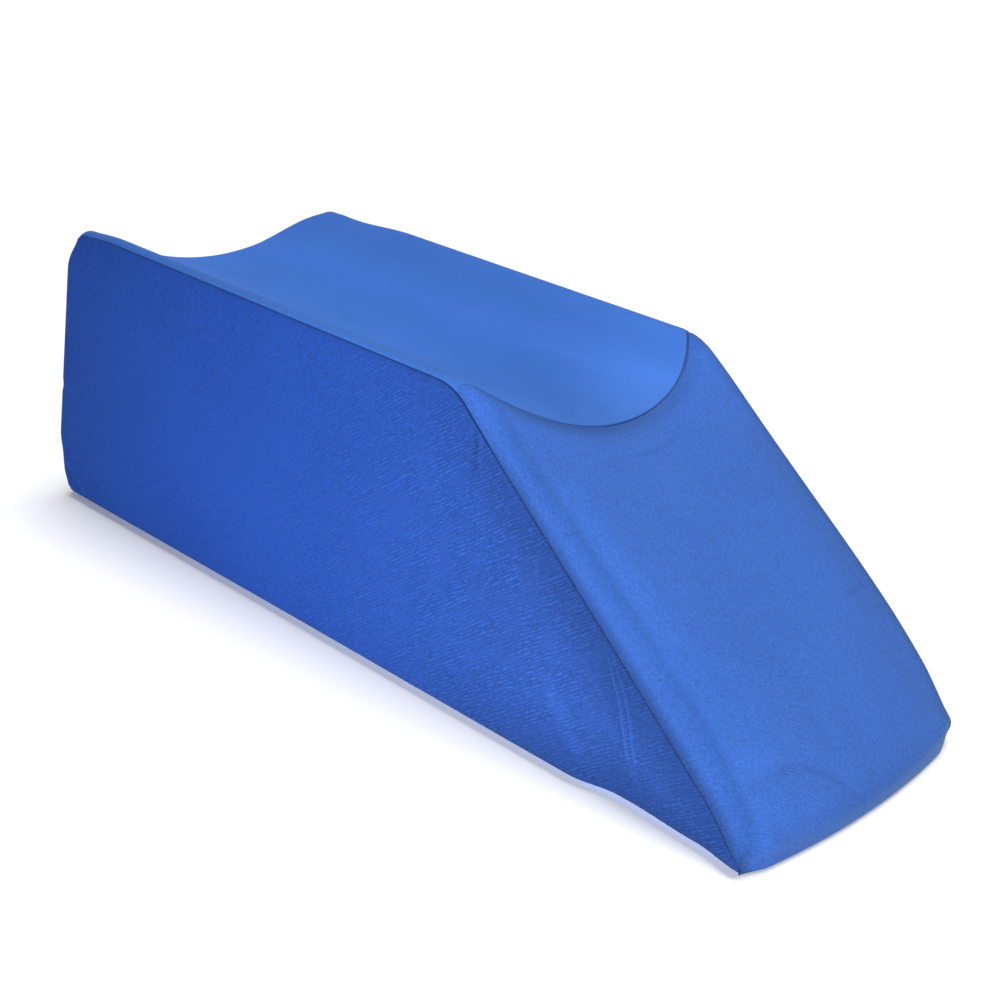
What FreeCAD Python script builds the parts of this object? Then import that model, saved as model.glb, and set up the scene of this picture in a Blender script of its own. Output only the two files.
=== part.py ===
"""Leg elevation pillow: a foam block with a trough for the calf, in a sewn cover with a zip across its rear.

Millimetres. +X points to the toe, where the slope meets the floor, and +Z points up. The origin is on the
floor, midway along the whole length and on the middle plane of the width.
"""
import FreeCAD, Part
import os

doc = FreeCAD.newDocument("leg_elevation_pillow")

# ---------------------------------------------------------------- driving dimensions

DIMENSIONS = [
    ("overall_length", 610.0),      # rear panel to the middle of the toe
    ("cover_width", 243.0),
    ("crest_height", 199.0),        # top of the two crests beside the trough
    ("trough_depth", 32.6),         # trough's lowest line below the crests
    ("rim_radius", 8.0),            # roll of the cover over the crests and along the slope's edges
    ("base_edge_radius", 10.0),     # roll of the cover under the long base edges
    ("rest_length", 371.0),         # rear panel to where the crests' line meets the slope's plane
    ("knee_radius", 40.0),          # rounding of the crests into the slope
    ("knee_seam_depth", 9.0),       # plane of the curved seam, parallel to the slope and below it
    ("toe_thickness", 20.5),        # slope's height above the floor at the toe's two corners
    ("toe_bulge", 10.0),            # middle of the toe stands this far ahead of its corners
    ("cover_thickness", 1.5),
    ("zip_height", 28.0),           # middle of the zip above the floor
    ("zip_opening", 12.0),          # gap between the rear panel's two folded edges
    ("tape_width", 13.0),
    ("tape_thickness", 0.7),
    ("coil_width", 3.0),            # each half of the chain
    ("coil_thickness", 2.2),
    ("coil_parting", 1.0),          # gap between the two halves, for the slider's post
    ("slider_length", 13.0),
    ("slider_plate", 1.2),
    ("slider_flange", 1.4),
    ("slider_clearance", 0.3),      # between the slider's walls and the chain
    ("slider_corner", 2.4),         # rounding of the slider's plates, seen from behind the pillow
    ("slider_room", 0.4),           # between the slider and the foam round it
    ("slider_edge_inset", 10.5),    # closed slider's middle, in from the chain's end at the bar tack
    ("post_width", 0.6),
    ("bridge_length", 7.0),
    ("bridge_width", 2.2),
    ("bridge_height", 2.9),
    ("bridge_strap", 1.0),          # thickness of the bridge's arch
    ("pull_length", 28.0),
    ("pull_width", 7.4),
    ("pull_thickness", 1.2),
    ("pull_eye_width", 3.0),
    ("pull_eye_length", 3.6),
    ("bar_tack_inset", 8.0),        # bar tack's middle, in from the side panel
    ("bar_tack_length", 2.4),
    ("bar_tack_thickness", 0.8),
]

sheet = doc.addObject("Spreadsheet::Sheet", "dimensions")
for row, (alias, value) in enumerate(DIMENSIONS, start=1):
    sheet.set(f"A{row}", alias)
    sheet.set(f"B{row}", str(value))
    sheet.setAlias(f"B{row}", alias)
doc.recompute()

# Expressions that several pieces share, written once. Lengths from the origin, in sheet terms.
D = "dimensions."
HALF_WIDTH = f"({D}cover_width / 2)"
BRIDGE_TOP = (
    f"({D}coil_thickness / 2 + {D}slider_clearance + {D}slider_plate + {D}bridge_height"
    f" - {D}cover_thickness - {D}tape_thickness / 2)"
)
REAR = f"(-({D}overall_length - {BRIDGE_TOP}) / 2)"
TOE = f"({REAR} + {D}overall_length)"
KNEE = f"({REAR} + {D}rest_length)"
CHAIN_MIDDLE = f"({REAR} + {D}cover_thickness + {D}tape_thickness / 2)"
STRIP_HALF = f"({HALF_WIDTH} - {D}cover_thickness)"
RIM_SPAN = f"({HALF_WIDTH} - {D}rim_radius)"
TROUGH_RADIUS = (
    f"(({RIM_SPAN} * {RIM_SPAN} + {D}trough_depth * {D}trough_depth) / (2 * {D}trough_depth)"
    f" - {D}rim_radius)"
)
SLOPE_RUN = f"({TOE} - {D}toe_bulge - {KNEE})"
SLOPE_ANGLE = f"atan(({D}crest_height - {D}toe_thickness) / {SLOPE_RUN})"
TOE_RADIUS = f"(({HALF_WIDTH} * {HALF_WIDTH} + {D}toe_bulge * {D}toe_bulge) / (2 * {D}toe_bulge))"
SLIDER_HALF_WIDTH = (
    f"({D}coil_parting / 2 + {D}coil_width + {D}slider_clearance + {D}slider_flange)"
)
MARGIN = 60.0   # how far a cutting block reaches past what it cuts


# ---------------------------------------------------------------- small helpers


def bind(obj, **expressions):
    """Bind each property to an expression; Placement parts use __ for a dot, as in base__x."""
    for prop, expression in expressions.items():
        path = prop.replace("base__", "Placement.Base.").replace("turn__", "Placement.Rotation.")
        obj.setExpression(path, str(expression))
    return obj


def block(name, x, y, z):
    """A box from three (low, high) pairs of expressions."""
    box = doc.addObject("Part::Box", name)
    bind(box, base__x=x[0], base__y=y[0], base__z=z[0])
    bind(box, Length=f"{x[1]} - ({x[0]})", Width=f"{y[1]} - ({y[0]})", Height=f"{z[1]} - ({z[0]})")
    return box


def common(name, *shapes):
    result = doc.addObject("Part::MultiCommon", name)
    result.Shapes = list(shapes)
    return result


def fuse(name, *shapes):
    result = doc.addObject("Part::MultiFuse", name)
    result.Shapes = list(shapes)
    return result


def cut(name, base, tool):
    result = doc.addObject("Part::Cut", name)
    result.Base = base
    result.Tool = tool
    return result


def rounded(name, base, radius, wanted):
    """Fillet the edges of base for which wanted(middle point, direction) is true."""
    doc.recompute()
    picked = []
    for index, edge in enumerate(base.Shape.Edges, start=1):
        middle = edge.valueAt((edge.FirstParameter + edge.LastParameter) / 2)
        direction = edge.tangentAt((edge.FirstParameter + edge.LastParameter) / 2)
        if wanted(middle, direction):
            picked.append((index, radius, radius))
    if not picked:
        raise RuntimeError(f"{name}: no edge to round")
    result = doc.addObject("Part::Fillet", name)
    result.Base = base
    result.Edges = picked
    return result


def size(alias):
    """The plain number in a cell, for a fillet's radius, which takes no expression."""
    return float(sheet.get(alias))


# ---------------------------------------------------------------- the cushion's outside, at any inset


def under_slope(name, depth, side):
    """A box under the slope's plane lowered by depth, with its directions along and out of the slope."""
    box = doc.addObject("Part::Box", name)
    box.Placement.Rotation = FreeCAD.Rotation(FreeCAD.Vector(0, 1, 0), 0)
    below = f"({D}overall_length + {depth})"
    bind(box, Length=f"2 * {D}overall_length", Height=f"{D}overall_length")
    bind(box, Width=f"{side[1]} - ({side[0]})", turn__Angle=SLOPE_ANGLE)
    bind(
        box,
        base__x=f"{KNEE} - {D}overall_length * cos({SLOPE_ANGLE}) - {below} * sin({SLOPE_ANGLE})",
        base__y=side[0],
        base__z=f"{D}crest_height + {D}overall_length * sin({SLOPE_ANGLE}) - {below} * cos({SLOPE_ANGLE})",
    )
    doc.recompute()
    along = box.Placement.Rotation.multVec(FreeCAD.Vector(1, 0, 0))
    upward = box.Placement.Rotation.multVec(FreeCAD.Vector(0, 0, 1))
    return box, along, upward, box.Placement.Base.dot(upward) + box.Height.Value


def cushion(name, inset):
    """The pillow's form, shrunk by inset on every face: troughed prism, slope, round knee and bowed toe."""
    rim = size("rim_radius") - inset
    base_edge = size("base_edge_radius") - inset
    side = (f"-{HALF_WIDTH} + {inset}", f"{HALF_WIDTH} - {inset}")

    blank = block(
        f"{name}_blank", (f"{REAR} + {inset}", TOE), side, (inset, f"{D}crest_height + {MARGIN / 2}")
    )
    trough = doc.addObject("Part::Cylinder", f"{name}_trough")
    trough.Placement.Rotation = FreeCAD.Rotation(FreeCAD.Vector(0, 1, 0), 90)
    bind(trough, base__x=f"{REAR} - {MARGIN}", base__z=f"{D}crest_height - {D}trough_depth + {TROUGH_RADIUS}")
    bind(trough, Radius=f"{TROUGH_RADIUS} + {inset}", Height=f"{D}overall_length + {2 * MARGIN}")
    troughed = cut(f"{name}_troughed", blank, trough)
    half_height = size("crest_height") / 2

    def crest(middle, direction):
        return abs(direction.x) > 0.999 and middle.z > half_height

    def base_edge_line(middle, direction):
        return abs(direction.x) > 0.999 and middle.z < half_height

    rest = rounded(f"{name}_rims", troughed, rim, crest)
    rest = rounded(f"{name}_rest", rest, base_edge, base_edge_line)

    sloped, along, upward, top = under_slope(f"{name}_slope_blank", inset, side)

    def slope_edge(middle, direction):
        return abs(direction.dot(along)) > 0.999 and middle.dot(upward) > top - 1

    def knee_line(middle, direction):
        return abs(direction.y) > 0.999 and middle.dot(upward) > top - 1 and middle.z > half_height

    slope = rounded(f"{name}_slope", sloped, rim, slope_edge)
    flat_top = block(f"{name}_flat_top", (f"{REAR} - {MARGIN}", TOE), side, (0, f"{D}crest_height - {inset}"))
    wedge = common(f"{name}_wedge", flat_top, sloped)
    knee = rounded(f"{name}_knee", wedge, size("knee_radius") - inset, knee_line)

    toe = doc.addObject("Part::Cylinder", f"{name}_toe")
    bind(toe, Radius=f"{TOE_RADIUS} - {inset}", Height=f"{D}crest_height + {2 * MARGIN}")
    bind(toe, base__x=f"{TOE} - {TOE_RADIUS}", base__z=-MARGIN)
    return common(name, rest, slope, knee, toe)


thickness = size("cover_thickness")
cover_form = cushion("cover_form", 0)
core_form = cushion("core_form", thickness)

# ---------------------------------------------------------------- foam core

ZIP = f"{D}zip_height"
WHOLE_LENGTH = (f"{REAR} - {MARGIN}", f"{TOE} + {MARGIN}")
STRIP = (f"-{STRIP_HALF}", STRIP_HALF)
CHAIN_HALF = f"({D}coil_parting / 2 + {D}coil_width)"
SLIDER_DEPTH = f"({D}coil_thickness / 2 + {D}slider_clearance + {D}slider_plate)"

# The foam is squeezed flat behind the zip: a shallow bed for the tapes, a deeper one for the slider.
tape_bed = block(
    "tape_bed",
    (REAR, f"{REAR} + {D}cover_thickness + {D}tape_thickness"),
    (f"-{HALF_WIDTH}", HALF_WIDTH),
    (f"{ZIP} - {CHAIN_HALF} - {D}tape_width", f"{ZIP} + {CHAIN_HALF} + {D}tape_width"),
)
slider_bed = block(
    "slider_bed",
    (REAR, f"{CHAIN_MIDDLE} + {SLIDER_DEPTH} + {D}slider_room"),
    (f"-{HALF_WIDTH}", HALF_WIDTH),
    (
        f"{ZIP} - {SLIDER_HALF_WIDTH} - {D}slider_room",
        f"{ZIP} + {SLIDER_HALF_WIDTH} + {D}slider_room",
    ),
)
foam_core = cut("foam_core", core_form, fuse("zip_bed", tape_bed, slider_bed))

# ---------------------------------------------------------------- cover panels, meeting at the seams

TALL = (-MARGIN, f"{D}crest_height + {MARGIN}")
side_panel_right = common(
    "side_panel_right",
    cover_form,
    block("right_side", WHOLE_LENGTH, (f"-{HALF_WIDTH} - {MARGIN}", f"-{STRIP_HALF}"), TALL),
)
side_panel_left = common(
    "side_panel_left",
    cover_form,
    block("left_side", WHOLE_LENGTH, (STRIP_HALF, f"{HALF_WIDTH} + {MARGIN}"), TALL),
)

# What is left between the two side panels is one strip that runs all the way round the foam.
shell = cut("shell", cover_form, core_form)
strip = common("strip", shell, block("between_sides", WHOLE_LENGTH, STRIP, TALL))

BEHIND_REAR = (f"{REAR} - {MARGIN}", f"{REAR} + {D}cover_thickness")
AHEAD_OF_REAR = (f"{REAR} + {D}cover_thickness", f"{TOE} + {MARGIN}")
ABOVE_BASE = f"{D}cover_thickness"
rear_panel_upper = common(
    "rear_panel_upper",
    strip,
    block("above_zip", BEHIND_REAR, STRIP, (f"{ZIP} + {D}zip_opening / 2", TALL[1])),
)
rear_panel_lower = common(
    "rear_panel_lower",
    strip,
    block("below_zip", BEHIND_REAR, STRIP, (ABOVE_BASE, f"{ZIP} - {D}zip_opening / 2")),
)
base_panel = common(
    "base_panel",
    strip,
    fuse(
        "base_region",
        block("base_flat", WHOLE_LENGTH, STRIP, (-MARGIN, ABOVE_BASE)),
        block(
            "base_edges",
            (AHEAD_OF_REAR[0], f"{TOE} - {D}toe_bulge - {D}base_edge_radius"),
            STRIP,
            (-MARGIN, f"{D}base_edge_radius + 1"),
        ),
    ),
)
seam_side = (f"-{STRIP_HALF} - {MARGIN}", f"{STRIP_HALF} + {MARGIN}")
seam_plane = under_slope("seam_plane", f"{D}knee_seam_depth", seam_side)[0]
trough_panel = common(
    "trough_panel",
    strip,
    seam_plane,
    block("above_middle", AHEAD_OF_REAR, STRIP, (f"{D}crest_height / 2", TALL[1])),
)
incline_panel = common(
    "incline_panel",
    cut("strip_outside_slope", strip, fuse("not_incline", base_panel, trough_panel)),
    block("front_half", (0, f"{TOE} + {MARGIN}"), STRIP, TALL),
)

# ---------------------------------------------------------------- zip: tapes, chain and bar tacks

BEHIND_COVER = (
    f"{REAR} + {D}cover_thickness",
    f"{REAR} + {D}cover_thickness + {D}tape_thickness",
)
CHAIN_DEPTH = (
    f"{CHAIN_MIDDLE} - {D}coil_thickness / 2",
    f"{CHAIN_MIDDLE} + {D}coil_thickness / 2",
)


def above_or_below(side, near, far):
    """A (low, high) pair of heights, near and far from the zip's middle, above it (1) or below it (-1)."""
    if side > 0:
        return (f"{ZIP} + {near}", f"{ZIP} + {far}")
    return (f"{ZIP} - {far}", f"{ZIP} - {near}")


def along_y(middle, direction):
    return abs(direction.y) > 0.999


zip_pieces = []
for side, word in ((1, "upper"), (-1, "lower")):
    tape = block(
        f"zip_tape_{word}",
        BEHIND_COVER,
        STRIP,
        above_or_below(side, CHAIN_HALF, f"({CHAIN_HALF} + {D}tape_width)"),
    )
    coil_bar = block(
        f"coil_bar_{word}",
        CHAIN_DEPTH,
        STRIP,
        above_or_below(side, f"{D}coil_parting / 2", CHAIN_HALF),
    )
    coil = rounded(f"zip_coil_{word}", coil_bar, size("coil_thickness") / 4, along_y)
    zip_pieces += [tape, coil]

TACK_MIDDLE = f"({STRIP_HALF} - {D}bar_tack_inset)"
TACK_DEPTH = (f"{CHAIN_DEPTH[0]} - {D}bar_tack_thickness", CHAIN_DEPTH[0])
TACK_HEIGHT = (f"{ZIP} - {CHAIN_HALF} - 1", f"{ZIP} + {CHAIN_HALF} + 1")
tacks = []
for side, word in ((1, "left"), (-1, "right")):
    middle = f"{side} * {TACK_MIDDLE}"
    ends = (f"{middle} - {D}bar_tack_length / 2", f"{middle} + {D}bar_tack_length / 2")
    tacks.append(block(f"tack_{word}", TACK_DEPTH, ends, TACK_HEIGHT))
zip_bar_tacks = fuse("zip_bar_tacks", *tacks)

# ---------------------------------------------------------------- slider, closed at the right-hand end

SLIDER_Y = f"(-({STRIP_HALF} - {D}bar_tack_inset - {D}slider_edge_inset))"
SLIDER_ENDS = (f"{SLIDER_Y} - {D}slider_length / 2", f"{SLIDER_Y} + {D}slider_length / 2")
SLIDER_SPAN = (f"{ZIP} - {SLIDER_HALF_WIDTH}", f"{ZIP} + {SLIDER_HALF_WIDTH}")
slider_blank = rounded(
    "slider_blank",
    block(
        "slider_block",
        (f"{CHAIN_MIDDLE} - {SLIDER_DEPTH}", f"{CHAIN_MIDDLE} + {SLIDER_DEPTH}"),
        SLIDER_ENDS,
        SLIDER_SPAN,
    ),
    size("slider_corner"),
    lambda middle, direction: abs(direction.x) > 0.999,
)
LANE_DEPTH = (
    f"{CHAIN_DEPTH[0]} - {D}slider_clearance",
    f"{CHAIN_DEPTH[1]} + {D}slider_clearance",
)
SLOT_DEPTH = (
    f"{BEHIND_COVER[0]} - {D}slider_clearance",
    f"{BEHIND_COVER[1]} + {D}slider_clearance",
)
THROUGH_SLIDER = (f"{SLIDER_Y} - {D}slider_length", f"{SLIDER_Y} + {D}slider_length")
lanes = []
for side, word in ((1, "upper"), (-1, "lower")):
    outer_wall = f"({CHAIN_HALF} + {D}slider_clearance)"
    lanes.append(
        block(
            f"chain_lane_{word}",
            LANE_DEPTH,
            THROUGH_SLIDER,
            above_or_below(side, f"{D}post_width / 2", outer_wall),
        )
    )
    lanes.append(
        block(
            f"tape_slot_{word}",
            SLOT_DEPTH,
            THROUGH_SLIDER,
            above_or_below(side, f"{D}post_width / 2", f"({SLIDER_HALF_WIDTH} + 1)"),
        )
    )
slider_body = cut("slider_body", slider_blank, fuse("slider_lanes", *lanes))

PLATE_TOP = f"({CHAIN_MIDDLE} - {SLIDER_DEPTH})"
bridge_block = block(
    "bridge_block",
    (f"{PLATE_TOP} - {D}bridge_height", f"{PLATE_TOP} + {D}slider_plate / 2"),
    (f"{SLIDER_Y} - {D}bridge_length / 2", f"{SLIDER_Y} + {D}bridge_length / 2"),
    (f"{ZIP} - {D}bridge_width / 2", f"{ZIP} + {D}bridge_width / 2"),
)
doc.recompute()
bridge_top_x = bridge_block.Shape.BoundBox.XMin


def bridge_shoulder(middle, direction):
    return abs(direction.z) > 0.999 and middle.x < bridge_top_x + 0.01


bridge_arch = rounded(
    "bridge_arch", bridge_block, size("bridge_strap") * 1.5, bridge_shoulder
)
bridge_eye = block(
    "bridge_eye",
    (f"{PLATE_TOP} - {D}bridge_height + {D}bridge_strap", PLATE_TOP),
    (
        f"{SLIDER_Y} - {D}bridge_length / 2 + {D}bridge_strap",
        f"{SLIDER_Y} + {D}bridge_length / 2 - {D}bridge_strap",
    ),
    (f"{ZIP} - {D}bridge_width", f"{ZIP} + {D}bridge_width"),
)
zip_slider = fuse("zip_slider", slider_body, cut("bridge", bridge_arch, bridge_eye))

# ---------------------------------------------------------------- pull, lying along the zip

# The pull turns about its end bar, which passes through the bridge and lies across the zip.
HINGE_X = f"({PLATE_TOP} - ({D}bridge_height - {D}bridge_strap) / 2)"
pull_blank = block(
    "pull_blank",
    (f"{HINGE_X} - {D}pull_thickness / 2", f"{HINGE_X} + {D}pull_thickness / 2"),
    (f"{SLIDER_Y} - {D}pull_thickness / 2", f"{SLIDER_Y} - {D}pull_thickness / 2 + {D}pull_length"),
    (f"{ZIP} - {D}pull_width / 2", f"{ZIP} + {D}pull_width / 2"),
)
doc.recompute()
pull_box = pull_blank.Shape.BoundBox


def grip_corner(middle, direction):
    return abs(direction.x) > 0.999 and middle.y > pull_box.Center.y


def bar_corner(middle, direction):
    return abs(direction.x) > 0.999 and middle.y < pull_box.Center.y


def bar_edge(middle, direction):
    return abs(direction.z) > 0.999 and middle.y < pull_box.YMin + 0.01


pull_tab = rounded("pull_tab", pull_blank, size("pull_width") * 0.45, grip_corner)
pull_tab = rounded("pull_shoulders", pull_tab, size("pull_thickness"), bar_corner)
pull_tab = rounded("pull_bar", pull_tab, size("pull_thickness") * 0.45, bar_edge)
pull_eye = block(
    "pull_eye",
    (f"{HINGE_X} - {D}pull_thickness", f"{HINGE_X} + {D}pull_thickness"),
    (
        f"{SLIDER_Y} + {D}pull_thickness / 2",
        f"{SLIDER_Y} + {D}pull_thickness / 2 + {D}pull_eye_length",
    ),
    (f"{ZIP} - {D}pull_eye_width / 2", f"{ZIP} + {D}pull_eye_width / 2"),
)
zip_pull = cut("zip_pull", pull_tab, pull_eye)

# ---------------------------------------------------------------- check and write

NODES = [
    foam_core,
    side_panel_right,
    side_panel_left,
    trough_panel,
    incline_panel,
    base_panel,
    rear_panel_upper,
    rear_panel_lower,
    *zip_pieces,
    zip_bar_tacks,
    zip_slider,
    zip_pull,
]
SOLIDS = {"zip_bar_tacks": 2}   # every other node is a single solid

doc.recompute()
failed = [obj.Name for obj in doc.Objects if "Invalid" in obj.State or "Error" in obj.State]
if failed:
    raise RuntimeError(f"failed to recompute: {failed}")

os.makedirs("parts", exist_ok=True)
for node in NODES:
    shape = node.Shape
    if shape.isNull() or not shape.isValid():
        raise RuntimeError(f"{node.Label} has no valid shape")
    if len(shape.Solids) != SOLIDS.get(node.Label, 1):
        raise RuntimeError(f"{node.Label} has {len(shape.Solids)} solids")
    shape.exportStep(f"parts/{node.Label}.step")
    box = shape.BoundBox
    print(
        f"{node.Label}: volume {shape.Volume:.0f}, x {box.XMin:.1f} to {box.XMax:.1f},"
        f" y {box.YMin:.1f} to {box.YMax:.1f}, z {box.ZMin:.1f} to {box.ZMax:.1f}"
    )
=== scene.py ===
"""The looks of the leg elevation pillow: sewn cover panels over a foam core, and the zip across the rear."""
from math import asin, atan2, copysign, cos, degrees, dist, pi, radians, sin, tan

import bmesh
import bpy
import numpy as np
from mathutils import Matrix, Vector
from mathutils.kdtree import KDTree


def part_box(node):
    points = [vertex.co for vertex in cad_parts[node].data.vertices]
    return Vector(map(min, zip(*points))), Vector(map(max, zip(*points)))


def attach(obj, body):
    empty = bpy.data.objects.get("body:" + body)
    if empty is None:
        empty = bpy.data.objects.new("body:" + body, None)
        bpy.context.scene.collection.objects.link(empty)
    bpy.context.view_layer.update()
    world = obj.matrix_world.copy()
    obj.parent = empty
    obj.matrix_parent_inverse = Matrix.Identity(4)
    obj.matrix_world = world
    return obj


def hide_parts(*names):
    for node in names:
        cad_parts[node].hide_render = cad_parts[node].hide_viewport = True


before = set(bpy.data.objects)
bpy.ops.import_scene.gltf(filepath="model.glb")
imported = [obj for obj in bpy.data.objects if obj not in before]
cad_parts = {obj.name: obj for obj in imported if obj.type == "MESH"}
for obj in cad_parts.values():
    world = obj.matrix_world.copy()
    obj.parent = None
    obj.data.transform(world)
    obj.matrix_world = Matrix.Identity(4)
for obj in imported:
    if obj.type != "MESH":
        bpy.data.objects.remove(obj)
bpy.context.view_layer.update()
MM = 0.001

# ---- sizes, from the frame, in metres

(REAR, _, ZIP_TOP), (_, _, CREST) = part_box("rear_panel_upper")
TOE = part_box("base_panel")[1].x
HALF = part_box("side_panel_left")[1].y
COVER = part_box("base_panel")[0].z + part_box("foam_core")[0].z
DEPTH = CREST - (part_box("trough_panel")[0].z + COVER)
ZIP_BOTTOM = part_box("rear_panel_lower")[1].z
ZIP_MIDDLE = (ZIP_TOP + ZIP_BOTTOM) / 2

# Shape of the soft cover, chosen to follow the real one.
TOE_BULGE = 9.6 * MM  # the toe's middle ahead of its corners
TOE_CORNER = TOE - 10 * MM
KNEE = REAR + 371 * MM  # where the slope's plane meets crest height
TOE_THICKNESS = 20.5 * MM  # the slope's plane above the floor at the toe's corners
SLOPE = atan2(CREST - TOE_THICKNESS, TOE_CORNER - KNEE)
OUT = np.array([sin(SLOPE), cos(SLOPE)])
RIM = 8 * MM  # roll over the crests and the rear edges
SEAM_ANGLE = radians(40)
SLOPE_RIM = 12 * MM  # roll along the slope's edges, with the seam on it
SLOPE_SEAM = 9.3 * MM  # the seam's depth below the slope's plane
NOSE_SHARE = 0.75  # the toe's upper roll, as a share of the largest that fits
FOOT = 2.5 * MM  # the toe's lower roll
CORNER_ROUND = 5 * MM
EAR = 1.2 * MM
CREST_SAG = 3.5 * MM
STEP_IN = 5.5 * MM  # right base edge, behind the toe
BASE_ROLL = 13 * MM  # roll under the long base edges
BASE_SEAM = radians(-55)
KNEE_ROLL = 40 * MM  # rounding at the top of the slope
KNEE_SEAM = REAR + 356.5 * MM  # the curved seam's ends
SLOPE_CROWN = 1.2 * MM  # swelling of the slope
LOW_CROWN = 7 * MM  # and more of it towards the toe
REAR_SWELL = 6.3 * MM  # swelling of the rear, above the zip
CLOTH = 1.2 * MM  # thickness of the visible panels
GROOVE = 1.1 * MM  # how far a seam pulls the cloth in
GROOVE_WIDTH = 0.9 * MM
DIP = 0.25 * MM  # the softer dip round it
DIP_WIDTH = 4.5 * MM
VOXEL = 6 * MM
SWELL_CAP = 2.5 * MM  # most that the simulated swelling may move a point
COIL_PITCH = 1.25 * MM

SEAM_DROP = RIM * (1 - sin(SEAM_ANGLE))  # seam's depth below the crest
SEAM_INSET = RIM * (1 - cos(SEAM_ANGLE))  # and in from the side's plane
BASE_SEAM_Z = BASE_ROLL * (1 + sin(BASE_SEAM))


# ---- curves


def steps(length, coarse, fine=(0.5, 1.0, 1.6, 2.4, 3.4, 4.6, 6.2, 8.2)):
    """Places along a length: close together at both ends, coarse between."""
    near = [0.0] + [f * MM for f in fine if f * MM < length * 0.4]
    inner = length - 2 * near[-1]
    count = max(1, round(inner / coarse))
    middle = [near[-1] + inner * i / count for i in range(1, count)]
    return np.array(near + middle + [length - f for f in reversed(near)])


def run_of(points):
    """Distance along a polyline, or down each column of a grid, at each of its points."""
    return np.cumsum(np.linalg.norm(np.diff(points, axis=0, prepend=points[:1]), axis=-1), axis=0)


def between(places, known, values):
    """Rows of values given at the known places, worked out for others; level past the ends."""
    return np.stack([np.interp(places, known, column) for column in values.T], axis=1)


def along(points, places):
    """Points at the given distances along a polyline."""
    return between(places, run_of(points), points)


def arc(centre, radius, start, end, count=24):
    turn = np.linspace(start, end, count)
    return np.stack([centre[0] + radius * np.cos(turn), centre[1] + radius * np.sin(turn)], axis=1)


def rolled(depth, radius):
    """How far in from its plane a face lies, at a depth below the edge that rolls over with that radius."""
    inside = np.clip(depth, 0, radius)
    return radius - np.sqrt(np.maximum(radius**2 - (radius - inside) ** 2, 0))


def ease(value, start, end):
    """0 at start, 1 at end, with smooth ends."""
    share = np.clip((value - start) / (end - start), 0, 1)
    return share * share * (3 - 2 * share)


# ---- trough and slope, column by column


def rest_section():
    """The section across the rest from the right seam to the left one: crest, trough, crest, as (y, z)."""
    span = HALF - RIM
    reach = (span**2 + DEPTH**2) / (2 * DEPTH)
    lean = asin(span / reach)
    hollow = reach - RIM
    right_crest = arc((-span, CREST - RIM), RIM, pi - SEAM_ANGLE, pi / 2 - lean, 60)
    trough = arc((0, CREST - DEPTH + hollow), hollow, 1.5 * pi - lean, 1.5 * pi + lean, 200)
    left_crest = right_crest[::-1] * (-1, 1)
    return np.concatenate([right_crest, trough[1:-1], left_crest])


def slope_section():
    """The section across the slope from seam to seam, as (y, height above the slope's plane)."""
    seam = asin(1 - SLOPE_SEAM / SLOPE_RIM)
    right = arc((-(HALF - SLOPE_RIM), -SLOPE_RIM), SLOPE_RIM, pi - seam, pi / 2, 60)
    flat = np.linspace(-(HALF - SLOPE_RIM), HALF - SLOPE_RIM, 100)[1:-1]
    return np.concatenate([right, np.stack([flat, 0 * flat], axis=1), right[::-1] * (-1, 1)])


def column_path(rest, slope):
    """One lengthwise line over the pillow, rear seam to base seam, through a point of each section.

    It rolls over the rear edge, runs along the rest, bends down at the knee and rolls under the toe.
    Returns the line and the place on it where the curved seam crosses.
    """
    (rest_y, z), (slope_y, height) = rest, slope
    across = min(1.0, abs(slope_y) / HALF)
    end = TOE_CORNER + TOE_BULGE * (1 - across**2)
    floor = 0.3 * MM
    corner = np.array([end - KNEE, floor - CREST])
    full = (height - corner @ OUT) / (1 - OUT[0] + OUT[1])
    nose = NOSE_SHARE * full
    nose_z = CREST + (height - nose - (end - nose - KNEE) * OUT[0]) / OUT[1]
    knee_x = KNEE + (CREST - z) / tan(SLOPE) + height / sin(SLOPE)
    tangent = KNEE_ROLL * tan(SLOPE / 2)
    up = pi / 2
    rear_arc = arc((REAR + RIM, z - RIM), RIM, pi - SEAM_ANGLE, up, 25)
    knee_arc = arc((knee_x - tangent, z - KNEE_ROLL), KNEE_ROLL, up, up - SLOPE, 33)
    nose_arc = arc((end - nose, nose_z), nose, up - SLOPE, 0, 25)
    foot_arc = arc((end - FOOT, floor + FOOT), FOOT, 0, -0.42 * pi, 12)
    share = np.linspace(0, 1, 60)[1:-1, None]
    middle = knee_arc[-1] * (1 - share) + nose_arc[0] * share
    crown = (SLOPE_CROWN * np.sin(pi * share) + LOW_CROWN * np.sin(pi * share**2)) * (1 - 0.85 * across**20)
    flat = np.concatenate([rear_arc, knee_arc, middle + crown * OUT, nose_arc, foot_arc])
    run = run_of(flat)
    lean = rest_y / HALF
    seam_x = KNEE_SEAM + (CREST - z) / tan(SLOPE) + (-2.5 - 4.5 * lean + 26 * lean**2 - 20 * lean**4) * MM
    seam_x -= 5 * MM * ease(-lean, 0.88, 1.0)
    first_bend = len(rear_arc)
    last = first_bend + len(knee_arc) + len(middle) // 2
    seam = float(np.interp(seam_x, flat[first_bend - 1 : last, 0], run[first_bend - 1 : last]))
    y = rest_y + (slope_y - rest_y) * ease(run, seam - 20 * MM, seam + 50 * MM)
    tuck = rolled(np.maximum(flat[:, 1], BASE_SEAM_Z), BASE_ROLL) * ease(abs(slope_y), HALF - 30 * MM, HALF)
    y = y - np.sign(slope_y) * np.where(flat[:, 0] > KNEE, tuck, 0)
    return np.stack([flat[:, 0], y, flat[:, 1]], axis=1), seam


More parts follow.
